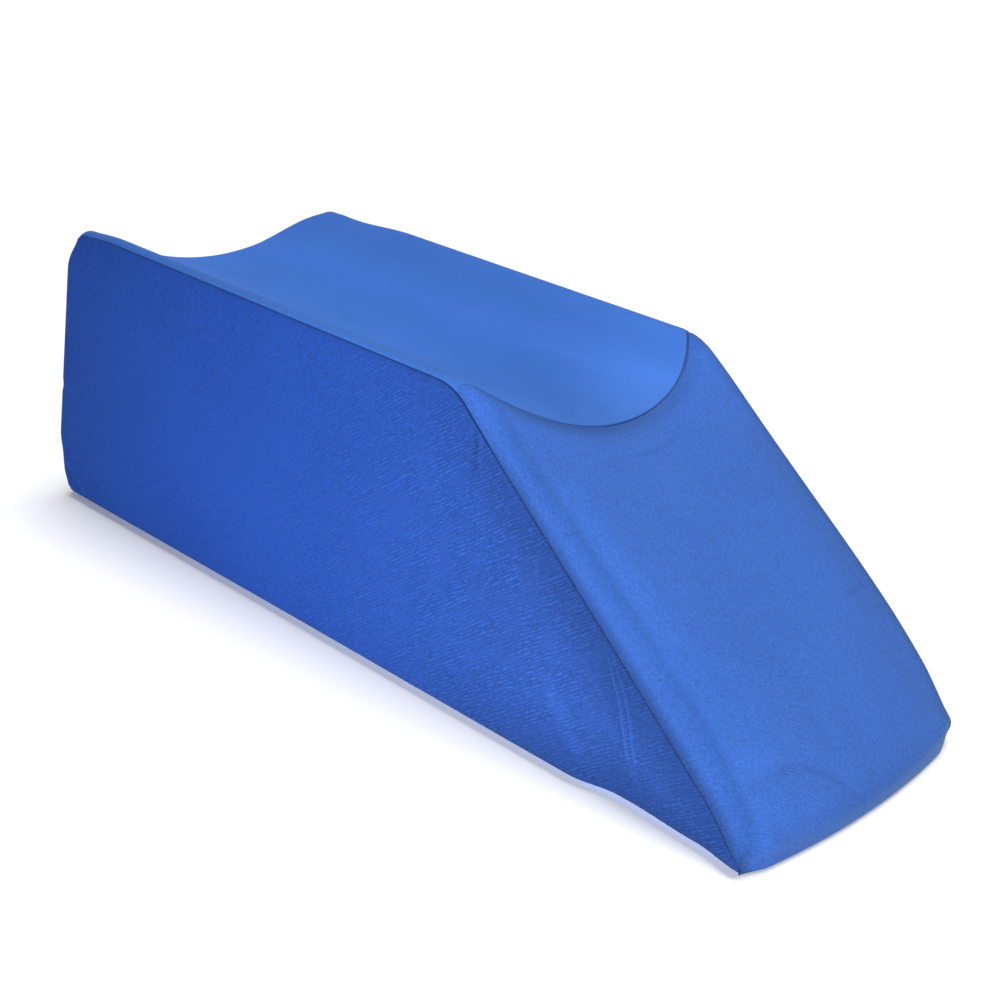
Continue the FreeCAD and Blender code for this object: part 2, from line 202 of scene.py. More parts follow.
def top_panels():
    """Grids of points, rows along the pillow and columns across it, for the trough and incline panels."""
    rest, slope = rest_section(), slope_section()
    places = steps(run_of(rest)[-1], 2.6 * MM) / run_of(rest)[-1]
    rest = along(rest, places * run_of(rest)[-1])
    slope = along(slope, places * run_of(slope)[-1])
    paths = [column_path(r, s) for r, s in zip(rest, slope)]
    middle_path, middle_seam = paths[len(paths) // 2]
    whole = run_of(middle_path)[-1]
    shares = [steps(length, 3 * MM) / length for length in (middle_seam, whole - middle_seam)]
    grids = []
    for part, share in enumerate(shares):
        grid = np.zeros((len(share), len(paths), 3))
        for j, (path, seam) in enumerate(paths):
            end = run_of(path)[-1]
            grid[:, j] = along(path, share * seam if part == 0 else seam + share * (end - seam))
        grids.append(grid)
    return grids


TROUGH, INCLINE = top_panels()


# ---- sides, rear and base


def side_grid(hand):
    """A side panel (hand -1 right, 1 left): rows from the top seam to the base seam, columns along it."""
    edge = 0 if hand < 0 else -1
    seam = np.concatenate([TROUGH[:, edge], INCLINE[1:, edge]])
    top = seam[:, [0, 2]]
    rear_x, last = top[0, 0], top[-1, 0]
    base_x = top[:, 0].copy()
    turn = int(np.argmax(top[:, 0] > TOE_CORNER - 13 * MM))
    run = run_of(top[turn:])
    base_x[turn:] = top[turn, 0] + (last - top[turn, 0]) * run / run[-1]
    first = int(np.argmax(top[:, 0] > REAR + RIM + 2 * MM))
    run = run_of(top[: first + 1])
    base_x[: first + 1] = rear_x + (top[first, 0] - rear_x) * run / run[-1]
    tall = CREST - BASE_SEAM_Z
    share = steps(tall, 3.0 * MM) / tall
    base = np.stack([base_x, np.full(len(top), BASE_SEAM_Z)], axis=1)
    base[-1] = top[-1]
    flat = top[None] + share[:, None, None] * (base - top)[None]

    # Depth below each edge's roll: the top seam's roll grows from the crest's to the slope's.
    growth = ease(top[:, 0], KNEE_SEAM - 20 * MM, KNEE_SEAM + 50 * MM)
    radius = RIM + (SLOPE_RIM - RIM) * growth
    start = SEAM_DROP + (SLOPE_SEAM - SEAM_DROP) * growth
    tree = KDTree(len(top))
    for i, p in enumerate(top):
        tree.insert((p[0], p[1], 0.0), i)
    tree.balance()
    grid = np.zeros((*flat.shape[:2], 3))
    for i, j in np.ndindex(*flat.shape[:2]):
        x, z = flat[i, j]
        _, near, away = tree.find((x, z, 0.0))
        inset = max(
            rolled(away + start[near], radius[near]),
            rolled(x - rear_x + SEAM_DROP, RIM),
            rolled(max(z, BASE_SEAM_Z), BASE_ROLL),
        )
        grid[i, j] = (x, hand * (HALF - inset), z)
    grid[0] = seam
    return grid


RIGHT, LEFT = side_grid(-1), side_grid(1)


def base_grid():
    """Rows along the pillow, columns across it, meeting the side panels and the toe."""
    right = RIGHT[-1]
    toe = INCLINE[-1]
    progress = (right[:, 0] - right[0, 0]) / (right[-1, 0] - right[0, 0])
    grid = np.zeros((len(right), len(toe), 3))
    spread = toe[:, 1] / toe[-1, 1]
    grid[..., 0] = right[0, 0] + progress[:, None] * (toe[None, :, 0] - right[0, 0])
    grid[..., 1] = spread[None] * -right[:, None, 1]
    edge = HALF - np.abs(grid[..., 1])
    grid[..., 2] = np.maximum(rolled(edge, BASE_ROLL), 0.0)
    ahead = np.clip((toe[None, :, 0] - grid[..., 0]) / (8 * MM), 0, 1)
    grid[..., 2] = grid[..., 2] * ahead + toe[None, :, 2] * (1 - ahead) ** 2
    return grid


BASE = base_grid()


def rear_grids():
    """The two rear panels, above and below the zip: rows downwards, columns across."""
    top = TROUGH[0]
    grids = []
    for upper in (True, False):
        high = top[:, 2] if upper else np.full(len(top), ZIP_BOTTOM)
        bottom = BASE[0, :, 2]
        low = np.full(len(top), ZIP_TOP) if upper else bottom
        tall = float((high - low).max())
        share = steps(tall, 3.0 * MM) / tall
        z = high[None] + share[:, None] * (low - high)[None]
        y = np.repeat(top[None, :, 1], len(share), axis=0)
        if not upper:
            y = y + share[:, None] ** 2 * (BASE[0, :, 1] - top[:, 1])[None]
        grid = np.zeros((*z.shape, 3))
        roll_side = rolled(np.abs(HALF - np.abs(y)) + SEAM_DROP - SEAM_INSET, RIM)
        roll_top = rolled(top[None, :, 2] - z + SEAM_DROP, RIM) if upper else 0 * z
        roll_base = rolled(z - bottom + SEAM_DROP, RIM) if not upper else 0 * z
        grid[..., 0] = REAR + np.maximum(roll_side, np.maximum(roll_top, roll_base))
        grid[..., 1], grid[..., 2] = y, z
        grids.append(grid)
    return grids


REAR_UPPER, REAR_LOWER = rear_grids()


# ---- how the filled cover settles


def hump(value, middle, half):
    """1 at the middle, falling smoothly to 0 at half a width away."""
    return 1 - ease(np.abs(value - middle), 0, half)


def settled(points):
    """The points moved by the cover's swelling, sagging, creases and puckers, which depend on place alone."""
    x, y, z = points[..., 0], points[..., 1], points[..., 2]
    side = np.clip(np.abs(y) / HALF, 0, 1)
    moved = points.copy()
    to_x, to_y, to_z = (moved[..., k] for k in range(3))

    # The rear swells above the zip, lower down at its corners, where the zip's ends hold it in.
    middle = 1 - side**6
    low = (8 + 28 * middle) * MM
    swell = ease(z, low, low + 32 * MM) * (1 - ease(z, CREST - 34 * MM, CREST))
    swell = swell * (1 - 0.55 * ease(side, 0.85, 0.95) * hump(z, ZIP_MIDDLE + 1 * MM, 18 * MM))
    to_x -= REAR_SWELL * swell * (1 - ease(x, REAR + 4 * MM, REAR + 45 * MM))

    # The rear corners round off, above and below.
    upper = ease(z, CREST - 28 * MM, CREST) * ease(side, 0.7, 1)
    lower = (1 - ease(z, 0, 26 * MM)) * ease(side, 0.86, 1)
    to_x += CORNER_ROUND * (upper + 1.5 * lower) * (1 - ease(x, REAR, REAR + 30 * MM))

    # The right crest drops at its rear corner, and the left one sags a little ahead of it.
    top = ease(z, CREST - 30 * MM, CREST - 3 * MM)
    rear_end = 1 - ease(x, REAR + 5 * MM, REAR + 45 * MM)
    to_z -= 2.6 * MM * top * ease(-y, 0.7 * HALF, 0.95 * HALF) * rear_end
    to_z -= 2.0 * MM * top * ease(y, 0.8 * HALF, 0.96 * HALF) * (1 - ease(x, REAR, REAR + 26 * MM))
    to_z -= CREST_SAG * top * ease(y, 0.7 * HALF, 0.95 * HALF) * hump(x, REAR + 36 * MM, 60 * MM)
    to_z += 2.2 * MM * hump(y, 82 * MM, 38 * MM) * ease(z, CREST - 60 * MM, CREST - 25 * MM) * rear_end

    # Right side: the base edge steps in under the double ridge, which is a soft fold in the cover.
    right = ease(-y, HALF - 30 * MM, HALF - 8 * MM)
    base = 1 - ease(z, 4 * MM, 42 * MM)
    step = ease(x, 176 * MM, 208 * MM) * (1 - 0.4 * ease(x, 215 * MM, 262 * MM)) * (1 - ease(x, 262 * MM, 292 * MM))
    to_y += (STEP_IN * step - 1.2 * MM * ease(x, -0.1, 0.17) * (1 - step)) * base * right
    for start, end, width, rise in (
        ((190, 90), (223, 22), 7, -1.1),
        ((171, 84), (206, 18), 13, 1.6),
        ((78, 178), (82, 150), 5, 0.7),
        ((-303, 27), (-272, 6), 7, 1.0),
    ):
        to_y += rise * MM * right * fold(x, z, start, end, width)
    to_x += 1.2 * MM * right * fold(x, z, (-310, 84), (-290, 80), 5) * (1 - ease(x, -0.3, -0.28))

    # Slope: a shallow arch above the toe and two faint creases.
    on_slope = ease((x - KNEE) * OUT[0] + (z - CREST) * OUT[1], -12 * MM, -3 * MM)
    arch = 284 * MM + 27 * MM * np.clip((y + 90 * MM) / (80 * MM), 0, 1.2) ** 3 - x
    ripple = np.exp(-((arch / (5 * MM)) ** 2)) - 0.7 * np.exp(-(((arch + 9 * MM) / (7 * MM)) ** 2))
    reach = hump(y, -52 * MM, 75 * MM)
    lift = -0.4 * MM * ripple * reach * on_slope
    lift += -0.5 * MM * on_slope * (fold(x, y, (121, -17), (117, 30), 6) + fold(x, y, (228, 72), (224, 102), 6))
    to_x += lift * OUT[0]
    to_z += lift * OUT[1]

    # Toe corners: the seams' ends stand out as small ears.
    to_x -= 3.5 * MM * ease(side, 0.8, 1) * ease(x, TOE_CORNER - 30 * MM, TOE_CORNER)
    ear = hump(z, 15 * MM, 12 * MM) * ease(side, 0.93, 1) * hump(x, TOE_CORNER - 2 * MM, 14 * MM)
    to_x += EAR * ear
    to_y += 0.6 * EAR * ear * np.sign(y)
    return moved


def fold(x, z, start, end, width):
    """A soft fold's height, 0 to 1, along a line between two places given in millimetres."""
    a, b = np.array(start) * MM, np.array(end) * MM
    long = np.linalg.norm(b - a)
    way = (b - a) / long
    run = (x - a[0]) * way[0] + (z - a[1]) * way[1]
    off = (x - a[0]) * -way[1] + (z - a[1]) * way[0]
    taper = ease(run, 0, 0.3 * long) * (1 - ease(run, 0.7 * long, long))
    return np.exp(-((off / (width * MM / 2)) ** 2)) * taper


def meet(grid, side, target, reach=12 * MM):
    """Move one edge of a grid onto target, and the rows behind it by a share that fades over reach."""
    turned = grid if side in ("first", "last") else grid.transpose(1, 0, 2)
    turned = turned if side in ("first", "left") else turned[::-1]
    share = np.clip(1 - run_of(turned) / reach, 0, 1) ** 2
    turned += share[..., None] * (target - turned[0])[None]


def edge(grid, side):
    return {"first": grid[0], "last": grid[-1], "left": grid[:, 0], "right": grid[:, -1]}[side]


def close_seams(grids, reach):
    """Bring both edges of every seam onto their average."""
    trough, incline, right, left, base, upper, lower = grids.values()
    turn = len(trough) - 1
    for _ in range(3):
        for panel, side in ((right, "left"), (left, "right")):
            strip = np.concatenate([edge(trough, side), edge(incline, side)[1:]])
            mean = (strip + panel[0]) / 2
            meet(panel, "first", mean, reach)
            meet(trough, side, mean[: turn + 1], reach)
            meet(incline, side, mean[turn:], reach)
            mean = (edge(base, side) + panel[-1]) / 2
            meet(panel, "last", mean, reach)
            meet(base, side, mean, reach)
            rear = panel[:, 0].copy()
            for part in (upper, lower):
                own = edge(part, side)
                others = between(-own[:, 2], -rear[:, 2], rear)
                spot = (rear[:, 2] >= own[-1, 2]) & (rear[:, 2] <= own[0, 2])
                mine = between(-rear[:, 2], -own[:, 2], own)
                rear[spot] = (rear[spot] + mine[spot]) / 2
                meet(part, side, (own + others) / 2, reach)
            meet(panel, "left", rear, reach)
        for one, one_side, other, other_side in (
            (trough, "last", incline, "first"),
            (trough, "first", upper, "first"),
            (base, "last", incline, "last"),
            (base, "first", lower, "last"),
        ):
            mean = (edge(one, one_side) + edge(other, other_side)) / 2
            meet(one, one_side, mean, reach)
            meet(other, other_side, mean, reach)


PANELS = {
    "trough_panel": TROUGH,
    "incline_panel": INCLINE,
    "side_panel_right": RIGHT,
    "side_panel_left": LEFT,
    "base_panel": BASE,
    "rear_panel_upper": REAR_UPPER,
    "rear_panel_lower": REAR_LOWER,
}
close_seams(PANELS, 12 * MM)
PANELS = {name: settled(grid) for name, grid in PANELS.items()}
CENTRE = np.array([0.0, 0.0, CREST / 3])


def unit(vectors):
    return vectors / np.maximum(np.linalg.norm(vectors, axis=-1, keepdims=True), 1e-12)


def square_to(grid):
    """Vectors square to a grid's rows and columns, at each of its points."""
    return np.cross(np.gradient(grid, axis=0), np.gradient(grid, axis=1))


def normals(grid):
    """Outward unit normals of a grid's points."""
    normal = unit(square_to(grid))
    outward = np.sum(normal * (grid - CENTRE), axis=2).mean()
    return normal if outward > 0 else -normal


def edge_distances(grid):
    """Distance along the cloth from each point to the panel's first, last, left and right edges."""
    down, across = run_of(grid), run_of(grid.transpose(1, 0, 2)).T
    return {"first": down, "last": down[-1:] - down, "left": across, "right": across[:, -1:] - across}


# ---- mesh making


def linked(name, data):
    """A new object for some data, in the scene."""
    obj = bpy.data.objects.new(name, data)
    bpy.context.scene.collection.objects.link(obj)
    return obj


def mesh_object(name, points, faces):
    mesh = bpy.data.meshes.new(name)
    mesh.from_pydata([tuple(p) for p in points], [], faces)
    mesh.validate()
    mesh.update()
    mesh.polygons.foreach_set("use_smooth", [True] * len(mesh.polygons))
    return linked(name, mesh)


def grid_faces(rows, columns, offset=0, flip=False):
    a = np.arange(rows * columns).reshape(rows, columns) + offset
    quads = np.stack([a[:-1, :-1], a[1:, :-1], a[1:, 1:], a[:-1, 1:]], axis=-1).reshape(-1, 4)
    return quads[:, ::-1] if flip else quads


def faces_flipped(grid, normal):
    """Whether a grid's plain faces look inwards."""
    return float(np.sum(square_to(grid) * normal)) < 0


def cloth_shell(name, grid, normal, gap, thickness=CLOTH):
    """A closed panel: the grid as its outer face, a copy one thickness in, and a rim round the edge.

    gap is each point's distance from the nearest seam, kept for the material as "seam_gap".
    """
    rows, columns = grid.shape[:2]
    thinned = np.clip(0.2 + gap / (1.5 * MM), 0, 1)
    inner = grid - normal * (thickness * thinned)[..., None]
    points = np.concatenate([grid.reshape(-1, 3), inner.reshape(-1, 3)])
    flip = faces_flipped(grid, normal)
    count = rows * columns
    outer = grid_faces(rows, columns, 0, flip)
    back = grid_faces(rows, columns, count, not flip)
    a = np.arange(count).reshape(rows, columns)
    loop = np.concatenate([a[0, :-1], a[:-1, -1], a[-1, :0:-1], a[:0:-1, 0]])
    following = np.roll(loop, -1)
    rim = np.stack([loop, following, following + count, loop + count], axis=1)
    rim = rim[:, ::-1] if flip else rim
    faces = np.concatenate([outer, back, rim]).tolist()
    piece = mesh_object(name, points, faces)
    kept = piece.data.attributes.new("seam_gap", "FLOAT", "POINT")
    kept.data.foreach_set("value", np.tile(gap.reshape(-1), 2).astype(np.float32))
    return piece


def tubes(rings):
    """Points and faces of capped tubes through rings of points: an array of (tubes, rings, sides, 3)."""
    index = np.arange(rings.size // 3).reshape(rings.shape[:3])
    near, turned = index[:, :-1], np.roll(index, -1, axis=2)
    quads = np.stack([near, turned[:, :-1], turned[:, 1:], index[:, 1:]], axis=-1).reshape(-1, 4)
    caps = np.concatenate([index[:, 0, ::-1], index[:, -1]])
    return rings.reshape(-1, 3), quads.tolist() + caps.tolist()


def round_rings(line, radius, one, other, sides):
    """Rings of points round a line, with a radius at each of its points and two directions across it."""
    turn = (np.arange(sides) * 2 * pi / sides)[None, :, None]
    spoke = np.cos(turn) * one[:, None] + np.sin(turn) * other[:, None]
    return line[:, None] + np.reshape(radius, (-1, 1, 1)) * spoke


def points_of(obj, kind="co"):
    """An object's vertices, or their normals, as an array."""
    found = np.empty(len(obj.data.vertices) * 3)
    obj.data.vertices.foreach_get(kind, found)
    return found.reshape(-1, 3)


# ---- the filled cover, simulated


def filled_form():
    """One closed skin through all the panels, remeshed evenly, as a new object."""
    bridge = np.stack([PANELS["rear_panel_upper"][-1], PANELS["rear_panel_lower"][0]])
    patches = [(grid, normals(grid)) for grid in PANELS.values()] + [(bridge, (-1, 0, 0))]
    points, faces, offset = [], [], 0
    for grid, normal in patches:
        points.append(grid.reshape(-1, 3))
        faces.append(grid_faces(*grid.shape[:2], offset, faces_flipped(grid, normal)))
        offset += len(points[-1])
    form = mesh_object("filled_form", np.concatenate(points), np.concatenate(faces).tolist())
    skin = bmesh.new()
    skin.from_mesh(form.data)
    bmesh.ops.remove_doubles(skin, verts=skin.verts, dist=0.4 * MM)
    bmesh.ops.holes_fill(skin, edges=skin.edges, sides=0)
    skin.to_mesh(form.data)
    skin.free()
    remesh = form.modifiers.new("remesh", "REMESH")
    remesh.mode = "VOXEL"
    remesh.voxel_size = VOXEL
    apply_modifiers(form)
    return form


def apply_modifiers(obj):
    """Bake the modifiers' result into the mesh and remove them."""
    graph = bpy.context.evaluated_depsgraph_get()
    result = bpy.data.meshes.new_from_object(obj.evaluated_get(graph))
    obj.modifiers.clear()
    obj.data = result


def tree_of(points):
    tree = KDTree(len(points))
    for i, p in enumerate(points):
        tree.insert(p, i)
    tree.balance()
    return tree


def swollen(form):
    """How far each point of the form moves when the cover is filled out: a cloth under pressure, held at seams."""
    before = points_of(form)
    edges = [edge(grid, side) for grid in PANELS.values() for side in ("first", "last", "left", "right")]
    seams = tree_of(np.concatenate(edges))
    gaps = np.array([seams.find(p)[2] for p in before])
    hold = 1 - ease(gaps, 5 * MM, 22 * MM)
    hold = np.maximum(hold, 1 - ease(before[:, 2], 1 * MM, 5 * MM))
    group = form.vertex_groups.new(name="held")
    for i, weight in enumerate(hold):
        if weight > 0.01:
            group.add([i], float(weight), "REPLACE")
    cloth = form.modifiers.new("cloth", "CLOTH")
    settings = cloth.settings
    settings.use_pressure = True
    settings.uniform_pressure_force = 4
    settings.vertex_group_mass = "held"
    settings.effector_weights.gravity = 0
    settings.quality = 5
    cloth.point_cache.frame_end = 20
    for frame_number in range(1, 21):
        bpy.context.scene.frame_set(frame_number)
    apply_modifiers(form)
    moved = points_of(form) - before
    bpy.context.scene.frame_set(1)
    far = np.linalg.norm(moved, axis=1, keepdims=True)
    moved *= np.minimum(1, SWELL_CAP / np.maximum(far, 1e-9)) * (1 - hold)[:, None]
    moved[before[:, 2] > CREST - DEPTH - 8 * MM] *= 0.25
    return before, moved


def carried(grid, tree, moved):
    """A grid's points with the form's movement, averaged over the nearest few of its points."""
    flat = grid.reshape(-1, 3)
    out = flat.copy()
    for i, p in enumerate(flat):
        found = tree.find_n(p, 6)
        share = np.array([1 / (d + 1 * MM) for _, _, d in found])
        out[i] += share @ moved[[index for _, index, _ in found]] / share.sum()
    return out.reshape(grid.shape)


form = filled_form()
foam_points, foam_normals = points_of(form), points_of(form, "normal")
foam_faces = [tuple(p.vertices) for p in form.data.polygons]
before, moved = swollen(form)
tree = tree_of(before)
PANELS = {name: carried(grid, tree, moved) for name, grid in PANELS.items()}
bpy.data.objects.remove(form)

# ---- seams and panels


def groove(distance):
    """How deep the cloth is pulled in at a distance from a seam: a narrow crease in a wider dip."""
    return GROOVE * np.exp(-((distance / GROOVE_WIDTH) ** 2)) + DIP * np.exp(-((distance / DIP_WIDTH) ** 2))


FACING = {"base_panel": (0, 0, -1), "side_panel_right": (0, -1, 0), "side_panel_left": (0, 1, 0)}
grooved, outward, seam_gaps = {}, {}, {}
for name, grid in PANELS.items():
    outward[name] = normals(grid)
    if name in FACING:
        outward[name] = unit(outward[name] + FACING[name])
    buried = ease(-grid[..., 1], 0.8 * HALF, 0.93 * HALF)
    gaps = edge_distances(grid)
    pull = np.zeros(grid.shape[:2])
    seam_gaps[name] = np.full(grid.shape[:2], 1.0)
    for side in ("first", "last", "left", "right"):
        at_zip = (name, side) in (("rear_panel_upper", "last"), ("rear_panel_lower", "first"))
        curved = (name, side) in (("trough_panel", "last"), ("incline_panel", "first"))
        depth = 1 - 0.9 * buried if curved else 0.35 if at_zip else 1
        pull = np.maximum(pull, groove(gaps[side]) * depth)
        if not at_zip:
            seam_gaps[name] = np.minimum(seam_gaps[name], gaps[side] * (0.5 + 8 * buried if curved else 1))
    grooved[name] = grid - outward[name] * pull[..., None]
close_seams(grooved, 3 * MM)
panels = {
    name: cloth_shell(f"cover_{name}", grid, outward[name], seam_gaps[name]) for name, grid in grooved.items()
}

# ---- thread in the seams and beside the zip


def stitches(line, out, length, pitch, radius, bow):
    """Rings for short threads along a polyline: each dips at both ends and stands up by bow, towards out."""
    run = run_of(line)
    share = np.linspace(-0.5, 0.5, 5)
    thin = radius * np.sqrt(np.clip(1 - (1.8 * share) ** 4, 0.05, 1))
    threads = []
    for start in np.arange(1.5 * pitch, run[-1] - 1.5 * pitch, pitch):
        place = along(line, start + share * length)
        up = between(start + share * length, run, out)
        across = unit(np.cross(unit(place[-1] - place[0]), up))
        place = place + up * (bow * (1 - (2 * share[:, None]) ** 2) - radius)
        threads.append(round_rings(place, thin, across, up, 6))
    return threads


def thread_object(name, runs, length, pitch, radius, bow):
    rings = [ring for line, out in runs for ring in stitches(line, out, length, pitch, radius, bow)]
    return mesh_object(name, *tubes(np.stack(rings)))


def seam_run(name, side):
    """A panel edge's line and outward direction."""
    return edge(grooved[name], side), edge(outward[name], side)


seam_runs = []
for side, other in (("left", "side_panel_right"), ("right", "side_panel_left")):
    for name in ("trough_panel", "incline_panel"):
        line, out = seam_run(name, side)
        top = outward[other][0]
        facing = top[: len(line)] if name == "trough_panel" else top[-len(line) :]
        seam_runs.append((line, unit(out + facing)))
    seam_runs.append(seam_run("base_panel", side))
line, out = seam_run("incline_panel", "first")
shown = line[:, 1] > -0.82 * HALF
seam_runs.append((line[shown], out[shown]))
for place in (("trough_panel", "first"), ("base_panel", "last"), ("base_panel", "first")):
    seam_runs.append(seam_run(*place))
seam_thread = thread_object("seam_thread", seam_runs, length=2.3 * MM, pitch=3.1 * MM, radius=0.26 * MM, bow=0.1 * MM)


def rear_depths(across, z):
    """Where the rear's cloth lies at height z, for places across it, with the zip's opening bridged."""
    rows = np.concatenate([grooved["rear_panel_upper"], grooved["rear_panel_lower"]])[::-1]
    depths = np.array([np.interp(across, row[:, 1], row[:, 0]) for row in rows])
    heights = np.array([np.interp(across, row[:, 1], row[:, 2]) for row in rows])
    return np.array([np.interp(z, heights[:, j], depths[:, j]) for j in range(len(across))])


topstitch_runs = []
for z in (ZIP_TOP + 2.4 * MM, ZIP_BOTTOM - 2.4 * MM):
    across = np.linspace(-HALF + 6 * MM, HALF - 6 * MM, 200)
    line = np.stack([rear_depths(across, z), across, 0 * across + z], axis=1)
    topstitch_runs.append((line, np.zeros(line.shape) + (-1, 0, 0)))
zip_topstitch = thread_object(
    "zip_topstitch", topstitch_runs, length=2.5 * MM, pitch=3.2 * MM, radius=0.24 * MM, bow=0.22 * MM
)

# ---- foam core


def foam_core():
    """The foam inside the cover, pressed flat behind the zip."""
    inner = foam_points - foam_normals * 3.2 * MM
    behind = (inner[:, 0] < REAR + 16 * MM) & (inner[:, 2] < ZIP_TOP + 16 * MM)
    inner[behind, 0] = np.maximum(inner[behind, 0], REAR + 6.5 * MM)
    inner[:, 2] = np.maximum(inner[:, 2], 2.2 * MM)
    return mesh_object("foam_block", inner, foam_faces)


foam = foam_core()

# ---- zip


def helix(middle_z, hand, y_low, y_high, centre_x, width, depth):
    """One half of a nylon coil: a flattened helix along y, with loops that lock past the zip's middle."""
    turns = int((y_high - y_low) / COIL_PITCH)
    per_turn, sides, radius = 10, 5, 0.32 * MM
    turn = np.arange(turns * per_turn + 1) * 2 * pi / per_turn
    y = y_low + turn / (2 * pi) * COIL_PITCH + (COIL_PITCH / 2 if hand > 0 else 0)
    x = centre_x + (depth / 2 - radius) * np.sin(turn)
    z = middle_z + hand * (width / 2 - radius) * np.cos(turn)
    line = np.stack([x, y, z], axis=1)
    way = unit(np.gradient(line, axis=0))
    inward = np.stack([centre_x - x, 0 * y, middle_z - z], axis=1)
    inward = unit(inward - np.sum(inward * way, axis=1, keepdims=True) * way)
    return tubes(round_rings(line, np.full(len(line), radius), inward, np.cross(way, inward), sides)[None])


tapes = {}
for node in ("zip_tape_upper", "zip_tape_lower"):
    low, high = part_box(node)
    width = steps(high.y - low.y - 2 * MM, 2.5 * MM) + low.y + 1 * MM
    inner = ZIP_MIDDLE + copysign(0.35 * MM, low.z - ZIP_MIDDLE)
    height = np.linspace(min(low.z, inner), max(high.z, inner), 13)
    behind = CLOTH + 0.2 * MM
    grid = np.stack([np.stack([rear_depths(width, z) + behind, width, 0 * width + z], axis=1) for z in height])
    facing = np.zeros(grid.shape) + (-1, 0, 0)
    tapes[node] = cloth_shell(f"woven_{node}", grid, facing, np.full(grid.shape[:2], 1.0), high.x - low.x)

coils = {}
for node, hand in (("zip_coil_upper", 1), ("zip_coil_lower", -1)):
    low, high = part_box(node)
    middle, size = (low + high) / 2, high - low
    points, faces = helix(
        middle.z - hand * 0.25 * MM, -hand, low.y + MM, high.y - MM, middle.x, size.z + 0.5 * MM, size.x
    )
    across = np.linspace(low.y, high.y, 161)
    follow = rear_depths(across, ZIP_MIDDLE)
    points[:, 0] += np.interp(points[:, 1], across, np.maximum(follow - follow[80], 0))
    coils[node] = mesh_object(f"detailed_{node}", points, faces)

low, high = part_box("zip_bar_tacks")
z = np.linspace(low.z, high.z, 12)
bow = np.sin(np.linspace(0, pi, 12)) ** 0.4
ahead, aside = np.tile((1, 0, 0), (12, 1)), np.tile((0, 1, 0), (12, 1))
bars = []
for hand in (-1, 1):
    for k in range(9):
        y = hand * (high.y - 0.2 * MM - k * 0.25 * MM) + 0.12 * MM * np.sin(z * 2.1 / MM + k * 2.4)
        line = np.stack([high.x - 0.15 * MM - 0.45 * MM * bow, y, z], axis=1)
        bars.append(round_rings(line, np.full(12, 0.17 * MM), ahead, aside, 6))
tacks = mesh_object("zip_bar_tack_thread", *tubes(np.stack(bars)))

# ---- materials


class Nodes:
    """A material's node tree, with short ways to add a node and join it up."""

    def __init__(self, name):
        self.material = bpy.data.materials.new(name)
        self.material.use_nodes = True
        self.tree = self.material.node_tree
        self.shader = self.tree.nodes["Principled BSDF"]
        self.place = self.add("TexCoord").outputs["Object"]
        self.x, self.y, self.z = self.add("SeparateXYZ", {0: self.place}).outputs

    def put(self, socket, value):
        """Join a socket to an output, or give it a plain value."""
        if isinstance(value, bpy.types.NodeSocket):
            self.tree.links.new(value, socket)
        else:
            socket.default_value = value

    def add(self, kind, inputs=None, **settings):
        node = self.tree.nodes.new(f"ShaderNode{kind}")
        for key, value in settings.items():
            setattr(node, key, value)
        for key, value in (inputs or {}).items():
            self.put(node.inputs[key], value)
        return node

    def math(self, operation, a, b=0.0, c=0.0):
        return self.add("Math", {0: a, 1: b, 2: c}, operation=operation).outputs[0]

    def times(self, a, b, plus=None):
        """a times b, with a third value added if there is one."""
        return self.math("MULTIPLY", a, b) if plus is None else self.math("MULTIPLY_ADD", a, b, plus)

    def span(self, value, low, high, start=0.0, end=1.0):
        """value taken smoothly from low..high to start..end."""
        inputs = {"Value": value, "From Min": low, "From Max": high, "To Min": start, "To Max": end}
        return self.add("MapRange", inputs, interpolation_type="SMOOTHSTEP").outputs["Result"]

    def stretched(self, vector, scale):
        return self.add("Mapping", {"Vector": vector, "Scale": scale}).outputs[0]

    def noise(self, vector, scale, detail=2.0):
        inputs = {"Vector": vector, "Scale": scale, "Detail": detail, "Roughness": 0.6}
        return self.add("TexNoise", inputs).outputs["Fac"]

    def mix(self, factor, a, b):
        return self.add("Mix", {0: factor, 6: a, 7: b}, data_type="RGBA").outputs[2]

    def shade(self, **sockets):
        for key, value in sockets.items():
            self.put(self.shader.inputs[key.replace("_", " ")], value)

    def bump(self, height, distance, normal=None):
        inputs = {"Height": height, "Distance": distance, "Strength": 1.0}
        if normal is not None:
            inputs["Normal"] = normal
        return self.add("Bump", inputs).outputs["Normal"]


def ridge(n, u, v, start, end, width):
    """A narrow fold's height, 0 to 1, on a face with coordinates u and v: from start to end, in millimetres."""
    long = dist(start, end)
    way = [(e - s) / long for s, e in zip(start, end)]
    u = n.math("SUBTRACT", u, start[0] * MM)
    v = n.math("SUBTRACT", v, start[1] * MM)
    run = n.times(v, way[1], n.times(u, way[0]))
    off = n.times(v, way[0], n.times(u, -way[1]))
    crest = n.span(n.math("ABSOLUTE", off), 0.0, width * MM, 1.0, 0.0)
    begin = n.span(run, 0.0, 0.25 * long * MM)
    finish = n.span(run, 0.7 * long * MM, long * MM, 1.0, 0.0)
    return n.times(crest, n.times(begin, finish))


def ridges(n, u, v, folds, height=0.0):
    """The height of several narrow folds together, each given as its start, end, width and rise."""
    for start, end, width, rise in folds:
        height = n.times(ridge(n, u, v, start, end, width), rise, height)
    return height


